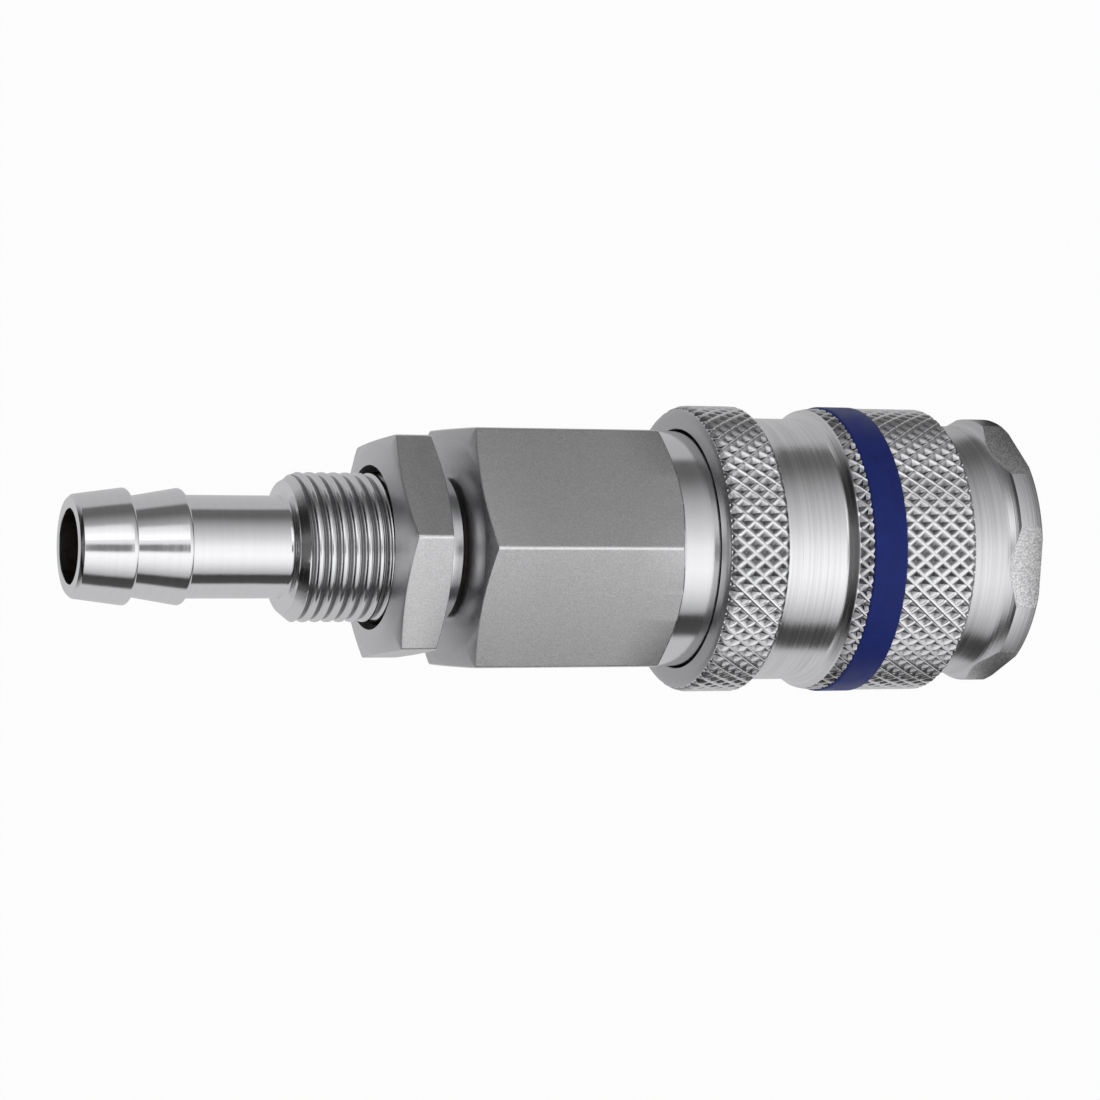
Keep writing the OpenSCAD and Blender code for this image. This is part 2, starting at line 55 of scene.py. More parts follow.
JOINT_R, JOINT_END, CHAMBER_R, CHAMBER_END, BORE_START = 7.56, 33.96, 5.0, 39.35, 40.55
MM = 0.001

# The hexagon has a corner towards the camera, and the jam nut stands a little turned from it
HEX_TURN = math.radians(-90)
NUT_TURN = HEX_TURN + math.radians(5)


# Node tools

def connect(tree, value, socket):
    """Link an output to a socket, or set a plain number or colour there."""
    if isinstance(value, bpy.types.NodeSocket):
        tree.links.new(value, socket)
    else:
        socket.default_value = value


def math_node(tree, operation, *values):
    node = tree.nodes.new("ShaderNodeMath")
    node.operation = operation
    for value, socket in zip(values, node.inputs):
        connect(tree, value, socket)
    return node.outputs[0]


def vector_node(tree, operation, output, *values):
    node = tree.nodes.new("ShaderNodeVectorMath")
    node.operation = operation
    for value, socket in zip(values, node.inputs):
        connect(tree, value, socket)
    return node.outputs[output]


def mix(tree, share, first, second, colors=False):
    """The first value where share is 0, the second where it is 1."""
    node = tree.nodes.new("ShaderNodeMix")
    node.data_type = "RGBA" if colors else "FLOAT"
    first_at, second_at, result_at = (6, 7, 2) if colors else (2, 3, 0)
    connect(tree, share, node.inputs[0])
    connect(tree, first, node.inputs[first_at])
    connect(tree, second, node.inputs[second_at])
    return node.outputs[result_at]


def fade(tree, value, start, end, low=0.0, high=1.0):
    """A number that goes from low to high while the value goes from start to end."""
    node = tree.nodes.new("ShaderNodeMapRange")
    node.inputs["From Min"].default_value = start
    node.inputs["From Max"].default_value = end
    node.inputs["To Min"].default_value = low
    node.inputs["To Max"].default_value = high
    tree.links.new(value, node.inputs["Value"])
    return node.outputs["Result"]


def place(tree):
    """The place on the piece, in metres."""
    return tree.nodes.new("ShaderNodeTexCoord").outputs["Object"]


def from_axis(tree, position):
    """The distance of a place from the axis."""
    across = vector_node(tree, "MULTIPLY", "Vector", position, (1, 1, 0))
    return vector_node(tree, "LENGTH", "Value", across)


def add_noise(tree, scale, detail, rough, stretch=None):
    """A noise pattern fixed to the piece, stretched along its axes where stretch is given."""
    noise = tree.nodes.new("ShaderNodeTexNoise")
    noise.inputs["Scale"].default_value = scale
    noise.inputs["Detail"].default_value = detail
    noise.inputs["Roughness"].default_value = rough
    position = place(tree)
    if stretch:
        mapping = tree.nodes.new("ShaderNodeMapping")
        mapping.inputs["Scale"].default_value = stretch
        tree.links.new(position, mapping.inputs["Vector"])
        position = mapping.outputs["Vector"]
    tree.links.new(position, noise.inputs["Vector"])
    return noise.outputs["Fac"]


# The part of a noise's range that most of it lies in
NOISE_LOW, NOISE_HIGH = 0.3, 0.7


def by_noise(tree, noise, low, high):
    return fade(tree, noise, NOISE_LOW, NOISE_HIGH, low, high)


def color_ramp(tree, value, dark, light, low=NOISE_LOW, high=NOISE_HIGH):
    """A colour that goes from dark to light while the value goes from low to high."""
    ramp = tree.nodes.new("ShaderNodeValToRGB")
    for element, position, color in zip(ramp.color_ramp.elements, (low, high), (dark, light)):
        element.position = position
        element.color = (*color, 1)
    tree.links.new(value, ramp.inputs["Fac"])
    return ramp.outputs["Color"]


def shades(color, darker, lighter):
    """A darker and a lighter version of a colour."""
    return [c * darker for c in color], [min(1, c * lighter) for c in color]


def add_bumps(tree, bsdf, layers):
    """Bump nodes in a chain. Each layer is (height, distance in metres, strength)."""
    normal = None
    for height, distance, strength in layers:
        bump = tree.nodes.new("ShaderNodeBump")
        bump.inputs["Distance"].default_value = distance
        bump.inputs["Strength"].default_value = strength
        tree.links.new(height, bump.inputs["Height"])
        if normal is not None:
            tree.links.new(normal, bump.inputs["Normal"])
        normal = bump.outputs["Normal"]
    tree.links.new(normal, bsdf.inputs["Normal"])


# Materials

def grey(value):
    """The faintly blue grey of the plating."""
    return (value, value, value + 0.01)


def new_material(name, metallic, roughness, color):
    mat = bpy.data.materials.new(name)
    mat.use_nodes = True
    bsdf = mat.node_tree.nodes["Principled BSDF"]
    bsdf.inputs["Metallic"].default_value = metallic
    bsdf.inputs["Roughness"].default_value = roughness
    bsdf.inputs["Base Color"].default_value = (*color, 1)
    return mat, mat.node_tree, bsdf


def turned_metal(name, color, roughness, lines=0.5, fine=2600.0, spots=0.3, tint=0.05):
    """Plated metal turned on a lathe: fine lines run round the axis."""
    mat, tree, bsdf = new_material(name, 1.0, roughness, color)
    line = add_noise(tree, 1.0, 4.0, 0.65, (30.0, 30.0, fine))
    cloud = add_noise(tree, 900.0, 3.0, 0.55)
    connect(tree, color_ramp(tree, line, *shades(color, 1 - tint, 1 + tint)), bsdf.inputs["Base Color"])
    connect(tree, by_noise(tree, line, roughness * 0.75, roughness * 1.35), bsdf.inputs["Roughness"])
    add_bumps(tree, bsdf, [(line, 0.00004, lines), (cloud, 0.00002, spots)])
    return mat


def bar_metal(name, color, roughness, grain):
    """Plated drawn bar: a fine even grain and a soft sheen."""
    mat, tree, bsdf = new_material(name, 1.0, roughness, color)
    grains = add_noise(tree, 7000.0, 3.0, 0.65)
    cloud = add_noise(tree, 1500.0, 4.0, 0.6)
    connect(tree, color_ramp(tree, grains, *shades(color, 0.84, 1.14)), bsdf.inputs["Base Color"])
    connect(tree, by_noise(tree, cloud, roughness * 0.92, roughness * 1.08), bsdf.inputs["Roughness"])
    add_bumps(tree, bsdf, [(grains, 0.000012, grain), (cloud, 0.00002, 0.15)])
    return mat


def plain_finish(name, color, roughness, metallic=0.0, scale=1500.0, bump=0.25, distance=0.00003):
    """An even finish with a slight grain in its colour, gloss and height."""
    mat, tree, bsdf = new_material(name, metallic, roughness, color)
    grain = add_noise(tree, scale, 3.0, 0.55)
    connect(tree, color_ramp(tree, grain, *shades(color, 0.88, 1.08)), bsdf.inputs["Base Color"])
    connect(tree, by_noise(tree, grain, roughness * 0.85, roughness * 1.2), bsdf.inputs["Roughness"])
    add_bumps(tree, bsdf, [(grain, distance, bump)])
    return mat


def knurl_metal():
    """Steel whose colour is darker in the pits of the knurl than on its crests, by the distance from the
    axis: painted shade in the pits, with some dirt there too.
    """
    mat = plain_finish("knurled_steel_pit_shade", grey(0.80), 0.20, metallic=1.0, scale=3500.0, bump=0.3)
    tree = mat.node_tree
    pit_r, crest_r = 11.38 * MM, 11.68 * MM
    # Painted shade in the pits: the colour runs from dark grey at the pit floors to light grey on the crests
    height = fade(tree, from_axis(tree, place(tree)), pit_r, crest_r)
    shade = color_ramp(tree, height, grey(0.31), grey(0.86), 0.25, 1.0)
    connect(tree, shade, tree.nodes["Principled BSDF"].inputs["Base Color"])
    return mat


# Directions of three of the front flats in degrees, with the others opposite, and how far out they begin
FRONT_FLAT_TURNS, FRONT_FLAT_EDGE = (22, 82, 142), (10.41 * MM, 10.46 * MM)


def front_metal():
    """A fine grain on the six flats round the mouth, and turned lines elsewhere."""
    mat, tree, bsdf = new_material("front_body_steel", 1.0, 0.24, (0.76, 0.76, 0.77))
    line = add_noise(tree, 1.0, 4.0, 0.7, (30.0, 30.0, 3200.0))
    grain = add_noise(tree, 6500.0, 3.0, 0.65)
    # Only the flats are this far out along the directions that they face
    position, reach = place(tree), 0.0
    for turn in FRONT_FLAT_TURNS:
        facing = (math.cos(math.radians(turn)), math.sin(math.radians(turn)), 0)
        distance = math_node(tree, "ABSOLUTE", vector_node(tree, "DOT_PRODUCT", "Value", position, facing))
        reach = math_node(tree, "MAXIMUM", distance, reach)
    turned = fade(tree, reach, *FRONT_FLAT_EDGE, 1.0, 0.0)
    pattern = mix(tree, turned, grain, line)
    flat_color = color_ramp(tree, pattern, grey(0.58), (1.0, 1.0, 1.0), 0.40, 0.60)
    turned_color = color_ramp(tree, pattern, grey(0.60), grey(0.80))
    connect(tree, mix(tree, turned, flat_color, turned_color, colors=True), bsdf.inputs["Base Color"])
    extra = fade(tree, turned, 0.0, 1.0, 0.26, 0.0)
    rough = math_node(tree, "ADD", by_noise(tree, pattern, 0.20, 0.32), extra)
    connect(tree, rough, bsdf.inputs["Roughness"])
    add_bumps(tree, bsdf, [(pattern, 0.00003, 1.0)])
    return mat


bright = turned_metal("bright_turned_steel", grey(0.80), 0.13, lines=0.20, spots=0.25, tint=0.03)
tail_steel = turned_metal("tail_steel", grey(0.84), 0.10, lines=0.08, spots=0.25, tint=0.03)
groove_steel = turned_metal("grip_groove_steel", grey(0.80), 0.18, lines=0.9, fine=3600.0, tint=0.12)
neck_steel = turned_metal("neck_steel", grey(0.78), 0.22, lines=0.8, spots=0.4, tint=0.08)
rim_steel = plain_finish("rim_steel", grey(0.62), 0.36, metallic=1.0, scale=3000.0, bump=0.3)
face_steel = turned_metal("nut_face_steel", grey(0.72), 0.30, lines=0.4, spots=0.4)
knurl_steel = knurl_metal()
thread_steel = turned_metal("thread_steel", grey(0.80), 0.15, lines=0.15, fine=3000.0, spots=0.8)
# Darker grey, as painted shade on the thread's flanks between the crests
flank_painted_shade = plain_finish("thread_flank_painted_shade", grey(0.40), 0.34, metallic=1.0, scale=3000.0, bump=0.5)
bar = bar_metal("bar_steel_flats", (0.84, 0.84, 0.845), 0.34, grain=0.6)
# Nearly black, as painted shade inside the bores, the nut's hole and the run-out groove
bore_painted_shade = plain_finish("bore_painted_shade", (0.055, 0.050, 0.046), 0.55, metallic=1.0, scale=1600.0, bump=0.6,
                          distance=0.00006)
blue = plain_finish("blue_ring_plastic", (0.026, 0.045, 0.27), 0.42, scale=700.0, bump=0.06)
blue.node_tree.nodes["Principled BSDF"].inputs["Specular IOR Level"].default_value = 0.18
rubber = plain_finish("black_rubber", (0.018, 0.018, 0.019), 0.62, scale=1200.0, bump=0.4)
brass = turned_metal("turned_brass", (0.72, 0.53, 0.26), 0.25, fine=2000.0)
ball_steel = plain_finish("polished_balls", grey(0.82), 0.07, metallic=1.0, scale=900.0, bump=0.03)
wire = turned_metal("spring_wire", grey(0.42), 0.32, lines=0.3, fine=900.0, spots=0.4)


# Mesh tools

def make_piece(name, verts, faces, kinds, mats, body, replaced, sharp):
    """A piece from points in millimetres. kinds gives each face's place in mats, and edges over sharp degrees
    are sharp."""
    mesh = bpy.data.meshes.new(name)
    metres = [(x * MM, y * MM, z * MM) for x, y, z in verts]
    mesh.from_pydata(metres, [], [tuple(int(v) for v in face) for face in faces])
    for mat in mats:
        mesh.materials.append(mat)
    mesh.polygons.foreach_set("material_index", kinds)
    mesh.polygons.foreach_set("use_smooth", [True] * len(faces))
    mesh.set_sharp_from_angle(angle=math.radians(sharp))
    mesh.update()
    obj = bpy.data.objects.new(name, mesh)
    scene.collection.objects.link(obj)
    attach(obj, body)
    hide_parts(replaced)
    return obj


def spread(rows, part, n):
    """One part of each row, radius or height, as a number for each of its n points."""
    return [np.broadcast_to(np.asarray(row[part], float), n) for row in rows]


def lathe(name, rows, angles, mats, body, replaced, sharp, diagonals=None):
    """A closed surface round the axis. rows is a list of (radius, height, material), whose radius and height
    may differ from angle to angle, and the last row joins the first. diagonals gives, for some strips, which
    of their quads are split from the first corner."""
    n = len(angles)
    radii, heights = np.array(spread(rows, 0, n)), np.array(spread(rows, 1, n))
    points = np.stack([radii * np.cos(angles), radii * np.sin(angles), heights], axis=2).reshape(-1, 3)
    faces, kinds = [], []
    i = np.arange(n)
    k = (i + 1) % n
    for j, (r, z, material) in enumerate(rows):
        p, q = j * n, ((j + 1) % len(rows)) * n
        quads = list(zip(p + i, p + k, q + k, q + i))
        if diagonals and j in diagonals:
            for (a, b, c, d), first in zip(quads, diagonals[j]):
                faces += [(a, b, c), (a, c, d)] if first else [(a, b, d), (b, c, d)]
            kinds += [material] * 2 * n
        else:
            faces += quads
            kinds += [material] * n
    return make_piece(name, points.tolist(), faces, kinds, mats, body, replaced, sharp)


def arc(r0, z0, radius, start, end, steps=5):
    """Profile points on an arc, with angles in degrees from the radial direction towards +Z."""
    turns = [math.radians(start + (end - start) * i / steps) for i in range(steps + 1)]
    return [(r0 + radius * math.cos(t), z0 + radius * math.sin(t)) for t in turns]


def hexagon_radius(angles, af, turn, corner):
    """Distance from the axis to a hexagon's side at each angle, with its corners rounded."""
    # local is 0 at a corner and 30 degrees in the middle of a flat
    half = math.pi / 6
    local = (np.asarray(angles) - turn + half) % (math.pi / 3) - half
    flat = af / 2 / np.cos(half - np.abs(local))
    centre = (af / 2 - corner) / math.cos(half)
    inside = centre * np.cos(local) + np.sqrt(np.maximum(corner ** 2 - (centre * np.sin(local)) ** 2, 0))
    edge = np.arctan2(corner * math.sin(half), centre + corner * math.cos(half))
    return np.where(np.abs(local) < edge, inside, flat)


def hexagon_angles(count, turn, near=2.0, step=0.2):
    """Even angles round the axis, and closer ones at the six corners."""
    base = list(np.radians(np.arange(0, 360, 360 / count)))
    for i in range(6):
        for d in np.arange(-near, near + step / 2, step):
            base.append((turn + math.radians(60 * i + d)) % (2 * math.pi))
    return np.array(sorted(set(round(a, 6) for a in base)))


# Sleeve

KNURLS, AXIAL_PITCH, KNURL_DEPTH = 57, 1.57, 0.36
# Points across one ridge and pit of the knurl
PER_PITCH = 10
# Shares of a pitch: the ridge's crest to each side, and the slope of a pit, whose bottom is cut off flat
RIDGE_SHARE, PIT_SHARE, PIT_FLOOR = 0.06, 0.44, 0.88


def knurl_rows(z0, z1, crest, material, offset):
    """Rows of a crossed knurl: ridges in two directions with four-sided pits between them. Also says which
    quads of each row are split from the first corner, so that their edges follow the ridges."""
    count = max(2, round((z1 - z0) / (AXIAL_PITCH / PER_PITCH)))
    rows, splits = [], []
    i = np.arange(KNURLS * PER_PITCH)
    for j in range(count + 1):
        z = z0 + (z1 - z0) * j / count
        u, v = (i + j + offset) % PER_PITCH, (i - j - offset) % PER_PITCH
        du, dv = np.minimum(u, PER_PITCH - u) / PER_PITCH, np.minimum(v, PER_PITCH - v) / PER_PITCH
        pit = np.clip((np.minimum(du, dv) - RIDGE_SHARE) / PIT_SHARE, 0, PIT_FLOOR)
        rows.append((crest(z) - KNURL_DEPTH * pit, z, material))
        splits.append((v == 0) | (v == 1) | (v == PER_PITCH - 1))
    return rows, splits


def build_sleeve():
    """Three knurled lands, the bed of the blue ring, the smooth grip, and the stepped bore."""
    bright_at, knurl_at, groove_at, rim_at = range(4)
    angles = np.arange(KNURLS * PER_PITCH) * 2 * math.pi / (KNURLS * PER_PITCH)
    front_drop, rear_drop, rear_round = 0.35, 0.45, 0.9
    rows, diagonals = [], {}

    def add(points, material):
        rows.extend((r, z, material) for r, z in points)

    def add_knurl(z0, z1, crest, next_material, offset=0):
        made, splits = knurl_rows(z0, z1, crest, knurl_at, offset)
        for j, split in enumerate(splits[:-1]):
            diagonals[len(rows) + j] = split
        r, z, material = made[-1]
        rows.extend(made[:-1] + [(r, z, next_material)])

    def front_crest(z):
        return min(KNURL_R, KNURL_R - front_drop + (z - SLEEVE_Z - 0.1))

    add([(POCKET_R, SLEEVE_Z), (KNURL_R - 0.55, SLEEVE_Z), (KNURL_R - 0.45, SLEEVE_Z + 0.05)], bright_at)
    add_knurl(SLEEVE_Z + 0.12, RING_Z, front_crest, knurl_at)
    ring_bed_r = KNURL_R - 0.73
    add([(ring_bed_r, RING_Z + 0.001), (ring_bed_r, SHOULDER_Z - 0.001)], bright_at)

    # The narrow land behind the ring, then the smooth shoulder down to the grip
    land_length = 1.1

    def land_crest(z):
        return KNURL_R - 0.06 - 0.10 * ((z - SHOULDER_Z) / land_length) ** 2

    land_end = SHOULDER_Z + land_length
    add_knurl(SHOULDER_Z, land_end, land_crest, groove_at, 3)
    smooth_z, foot_z = land_end + 0.1, GRIP_Z - 0.03
    crown, foot = land_crest(land_end) - 0.03, GRIP_R + 0.02
    for t in np.linspace(0, 1, 9):
        fall = 0.55 * t + 0.45 * t * t * (3 - 2 * t)
        add([(crown - (crown - foot) * fall, smooth_z + (foot_z - smooth_z) * t)], groove_at)
    add([(GRIP_R + 0.005, GRIP_Z), (GRIP_R, GRIP_Z + 0.08)], groove_at)
    add([(GRIP_R, z) for z in np.linspace(GRIP_Z + 0.3, REAR_KNURL_Z - 0.1, 6)], groove_at)
    add([(GRIP_R + 0.04, REAR_KNURL_Z - 0.02), (GRIP_R + 0.12, REAR_KNURL_Z)], groove_at)
    add([(KNURL_R - 0.5, REAR_KNURL_Z)], bright_at)

    def rear_crest(z):
        past = z - (SLEEVE_END - rear_round)
        if past <= 0:
            return min(KNURL_R, KNURL_R - rear_drop + (z - REAR_KNURL_Z))
        return KNURL_R - rear_round + math.sqrt(max(rear_round ** 2 - past ** 2, 0))

    add_knurl(REAR_KNURL_Z + 0.03, SLEEVE_END - 0.28, rear_crest, bright_at, 5)
    add([(rear_crest(z), z) for z in (SLEEVE_END - 0.2, SLEEVE_END - 0.08)], rim_at)

    # The rear face, the lip round the collar, and the bore back to the front
    lip_r = REAR_COLLAR_R + 0.18
    add([(KNURL_R - rear_round - 0.1, SLEEVE_END), (lip_r + 0.06, SLEEVE_END), (lip_r, SLEEVE_END - 0.06),
         (lip_r, SLEEVE_END - 1.0), (SLEEVE_BORE_R, SLEEVE_END - 1.2), (SLEEVE_BORE_R, SPRING_ROOM_END),
         (SPRING_ROOM_R, SPRING_ROOM_END - 0.4), (SPRING_ROOM_R, SPRING_SEAT_Z), (LAND_R, SPRING_SEAT_Z),
         (LAND_R, LAND_Z), (POCKET_R, LAND_Z - POCKET_R + LAND_R)], rim_at)
    lathe("sleeve_knurled", rows, angles, [bright, knurl_steel, groove_steel, rim_steel], "sleeve", "sleeve",
          30.0, diagonals)


def build_ring():
    """The colour ring, with softly rounded edges that stand a little above the knurl."""
    room, edge = 0.02, 0.16
    low_z, high_z = RING_Z + room, SHOULDER_Z - room
    crest_r, root_r = KNURL_R + 0.08, KNURL_R - 0.71
    points = [(root_r, low_z)]
    points += arc(crest_r - edge, low_z + edge, edge, -90, 0)
    points += arc(crest_r - edge, high_z - edge, edge, 0, 90)
    points += [(root_r, high_z)]
    lathe("colour_ring_rounded", [(r, z, 0) for r, z in points], np.radians(np.arange(0, 360, 1.0)), [blue],
          "sleeve", "colour_ring", 40.0)


build_sleeve()
build_ring()


# Rear body

# Turns of the ridge, where it starts, and where along its pitch it stands at angle 0
RIDGES, RIDGE_START, RIDGE_PHASE = 10, 51.1, -0.46
# The ridge's section: place along one pitch and depth below the crest
SECTION = [(-0.10, 0.012), (0.0, 0.0), (0.10, 0.012), (0.19, 0.06), (0.33, 0.25), (0.465, 0.45), (0.5, 0.465),
           (0.535, 0.45), (0.67, 0.25), (0.81, 0.06)]
# Rows of the section that lie in shade between the crests. Their darker colour is painted shade
FLANKS = (4, 5, 6, 7)
# Depth of the plain land before the thread, and the radius at which the thread's end starts to rise
LAND_DROP, LEAD_R = 0.08, 5.25

REAR_STEELS = {"bright": bright, "flat": bar, "edge": neck_steel, "face": rim_steel, "thread": thread_steel,
               "tail": tail_steel, "bore": bore_painted_shade, "flank": flank_painted_shade}
REAR_KINDS = {kind: i for i, kind in enumerate(REAR_STEELS)}


def add_rows(rows, points, kind):
    rows.extend((r, z, REAR_KINDS[kind]) for r, z in points)


def rear_rows_low(side):
    """Rows of the rear body from its front end to where its thread starts."""
    rows = []
    collar, blend, face_r, flats_end = REAR_COLLAR_R, 0.10, 9.2, 47.2
    add_rows(rows, [(JOINT_R, REAR_COLLAR_Z), (collar - 0.4, REAR_COLLAR_Z), (collar, REAR_COLLAR_Z + 0.4)],
             "bright")
    add_rows(rows, [(collar, z) for z in (26.5, 28.0, 29.5, HEX_Z - 0.2, HEX_Z - 0.02)], "bright")
    # The cone that starts the hexagon, then the flats, each with a small rounded edge
    low_slope, high_slope = math.tan(math.radians(30)), math.tan(math.radians(16))
    out = side > collar
    reach_low = HEX_Z + np.maximum(side - collar, 0) * low_slope
    add_rows(rows, [(np.minimum(side, collar + 0.03), HEX_Z)], "bright")
    add_rows(rows, [(np.where(out, side - blend, side), reach_low - blend * low_slope * 0.98)], "edge")
    add_rows(rows, [(np.where(out, side - blend * 0.3, side), reach_low + blend * 0.12)], "edge")
    add_rows(rows, [(side, reach_low + blend)], "flat")
    add_rows(rows, [(side, reach_low * (1 - t) + flats_end * t) for t in (0.25, 0.5, 0.75)], "flat")
    # The cone that ends it, and its end face
    reach_high = HEX_END - (side - face_r) * high_slope
    add_rows(rows, [(side, reach_high - blend), (side - blend * 0.3, reach_high - blend * 0.12)], "edge")
    add_rows(rows, [(side - blend, reach_high + blend * high_slope), (face_r + 0.04, HEX_END - 0.02),
                    (face_r - 0.04, HEX_END), (7.5, HEX_END), (6.0, HEX_END)], "face")
    # The run-out groove and the plain land before the thread
    groove_r, land_r = 5.3, THREAD_R - LAND_DROP
    add_rows(rows, [(groove_r + 0.06, HEX_END), (groove_r, HEX_END + 0.06), (groove_r, THREAD_Z - 0.06),
                    (groove_r + 0.06, THREAD_Z)], "bore")
    add_rows(rows, [(land_r - 0.25, THREAD_Z + 0.02), (land_r, THREAD_Z + 0.27), (land_r, RIDGE_START - 0.7),
                    (land_r, RIDGE_START - 0.2)], "bright")
    return rows


def rear_rows_high():
    """Rows of the rear body from its thread's end, over the tail's tip and back through the bore."""
    rows = []
    fillet, crest_round = 0.45, 0.3
    add_rows(rows, [(LEAD_R, THREAD_END), (TUBE_R + 0.5, THREAD_END)], "tail")
    add_rows(rows, arc(TUBE_R + fillet, THREAD_END + fillet, fillet, 262, 180, 6), "tail")
    add_rows(rows, [(TUBE_R, z) for z in (64.5, 66.5, 68.5)], "tail")
    for crest_z, before_r in ((INNER_CREST, TUBE_R), (OUTER_CREST, ROOT_R)):
        back_z = crest_z - crest_round
        add_rows(rows, [(before_r, back_z - 0.02), (before_r + 0.02, back_z)], "tail")
        add_rows(rows, arc(BARB_R - crest_round, crest_z, crest_round, -90, 0, 6), "tail")
        add_rows(rows, [(BARB_R - 0.012, crest_z + 0.10)], "tail")
    add_rows(rows, [(TIP_R, TOP - 0.30), (TIP_R - 0.03, TOP - 0.25), (TIP_R - 0.25, TOP - 0.02),
                    (TIP_R - 0.28, TOP), (BORE_R + 0.05, TOP)], "tail")
    add_rows(rows, [(BORE_R, TOP - 0.05), (BORE_R, TOP - 0.3), (BORE_R, 60.0), (BORE_R, BORE_START),
                    (CHAMBER_R, CHAMBER_END), (CHAMBER_R, JOINT_END), (JOINT_R, JOINT_END)], "bore")
    return rows


def helix_rows(angles):
    """Radii and heights of the rows that follow the thread, one row for each point of its section."""
    share = angles / (2 * math.pi)
    radii, heights = [], []
    for row in range(RIDGES * len(SECTION) + 1):
        turn, point = divmod(row, len(SECTION))
        along, drop = SECTION[point]
        z = RIDGE_START + PITCH * (turn + along + share + RIDGE_PHASE)
        # The ridge rises from the plain land over its first half turn
        risen = np.clip((turn + along + share) / 0.5, 0, 1)
        crest = THREAD_R - LAND_DROP * (1 - risen) - drop * risen
        radii.append(np.minimum(crest, LEAD_R + THREAD_END - z))
        heights.append(z)
    return radii, heights


def build_rear_body():
    """The rear body in one closed surface, whose rows climb one pitch a turn along the thread."""
    angles = hexagon_angles(280, HEX_TURN)
    n = len(angles)
    low, high = rear_rows_low(hexagon_radius(angles, HEX_AF, HEX_TURN, 0.3)), rear_rows_high()

    # Points: the low rows, the rows along the thread, the ends of its last rows, the high rows
    helix_r, helix_z = helix_rows(angles)
    radii, heights = spread(low, 0, n) + helix_r, spread(low, 1, n) + helix_z
    verts = [(r * math.cos(a), r * math.sin(a), z) for rs, zs in zip(radii, heights)
             for r, z, a in zip(rs, zs, angles)]
    per, last = len(SECTION), RIDGES * len(SECTION)
    helix, extra = len(low) * n, len(verts)
    for row in range(last + 1, last + per + 1):
        turn, point = divmod(row, per)
        along, drop = SECTION[point]
        z = RIDGE_START + PITCH * (turn + along + RIDGE_PHASE)
        verts.append((min(THREAD_R - drop, LEAD_R + THREAD_END - z), 0, z))
    top = len(verts)
    verts += [(r * math.cos(a), r * math.sin(a), z) for r, z, kind in high for a in angles]

    def at(row, column):
        """The point of a row along the thread. After a whole turn it is the first of the row a pitch on."""
        if column == n:
            return at(row + per, 0)
        if row > last:
            return extra + row - last - 1
        return helix + row * n + column

    faces, kinds = [], []

    def put(face, kind):
        faces.append(face)
        kinds.append(kind)

    def strip(p, q, kind):
        for i in range(n):
            put((p + i, p + (i + 1) % n, q + (i + 1) % n, q + i), kind)

    for j in range(len(low) - 1):
        strip(j * n, (j + 1) * n, low[j][2])
    # From the last low row to the first row along the thread, and the step where that row ends
    ring, thread = (len(low) - 1) * n, REAR_KINDS["thread"]
    for i in range(n - 1):
        put((ring + i, ring + i + 1, at(0, i + 1), at(0, i)), thread)
    put((ring + n - 1, ring, at(0, 0)), thread)
    for row in range(per):
        put((ring + n - 1, at(row, 0), at(row + 1, 0)), thread)
    put((ring + n - 1, at(per, 0), at(0, n - 1)), thread)
    for row in range(last):
        kind = REAR_KINDS["flank"] if row % per in FLANKS else thread
        for i in range(n):
            put((at(row, i), at(row, i + 1), at(row + 1, i + 1), at(row + 1, i)), kind)
    # The same at the thread's end, up to the first high row
    put((at(last, 1), top + 1, top), thread)
    put((at(last, 1), top, at(last + per, 0)), thread)
    for row in range(last, last + per):
        put((at(last, 1), at(row + 1, 0), at(row, 0)), thread)
    for i in range(1, n):
        put((at(last, i), at(last, i + 1), top + (i + 1) % n, top + i), thread)
    for j in range(len(high) - 1):
        strip(top + j * n, top + (j + 1) * n, high[j][2])
    strip(top + (len(high) - 1) * n, 0, REAR_KINDS["bore"])
    make_piece("rear_body_dressed", verts, faces, kinds, list(REAR_STEELS.values()), "body", "rear_body",
               28.0)


build_rear_body()


# Jam nut

def build_nut():
    """A thin hexagon nut, whose outer face is a shallow cone round a countersunk hole."""
    hole_at, low_at, side_at, face_at = range(4)
    angles = hexagon_angles(240, NUT_TURN)
    side = hexagon_radius(angles, NUT_AF, NUT_TURN, 0.35)
    low_z, high_z = NUT_Z, NUT_Z + NUT_H
    slope, chamfer_slope = math.tan(math.radians(14.5)), 0.28
    bore_r, hole_r, chamfer_r, blend = 6.06, 6.55, 8.35, 0.08
    back_z = low_z - 0.42
    start = back_z + np.maximum(side - chamfer_r, 0) * chamfer_slope
    reach = high_z - (side - hole_r) * slope
    rows = [(bore_r, low_z, hole_at), (6.5, back_z, low_at), (chamfer_r - 0.3, back_z, low_at),
            (side - blend, start - 0.02, low_at), (side - blend * 0.3, start + blend * 0.2, low_at),
            (side, start + blend, side_at), (side, (low_z + high_z) / 2, side_at),
            (side, reach - blend, face_at), (side - blend * 0.3, reach - blend * 0.1, face_at),
            (side - blend, reach + blend * slope, face_at)]
    rows += [(r, high_z - (r - hole_r) * slope, face_at) for r in (8.2, 7.7, 7.1)]
    rows += [(hole_r, high_z, hole_at), (hole_r - 0.04, high_z - 0.06, hole_at),
             (bore_r, high_z - 0.7, hole_at)]
    lathe("jam_nut_dressed", rows, angles, [bore_painted_shade, neck_steel, bar, face_steel], "jam_nut", "jam_nut",
          28.0)


build_nut()


# Pieces that keep the shape of their solids

def dress(material, *names):
    for name in names:
        mesh = nodes[name].data
        mesh.materials.clear()
        mesh.materials.append(material)


dress(front_metal(), "front_body")
dress(ball_steel, "ball_1", "ball_2", "ball_3", "ball_4", "ball_5", "ball_6")
dress(rubber, "plug_seal", "valve_seal", "body_seal")
dress(brass, "seal_retainer", "valve_body", "valve_guide")
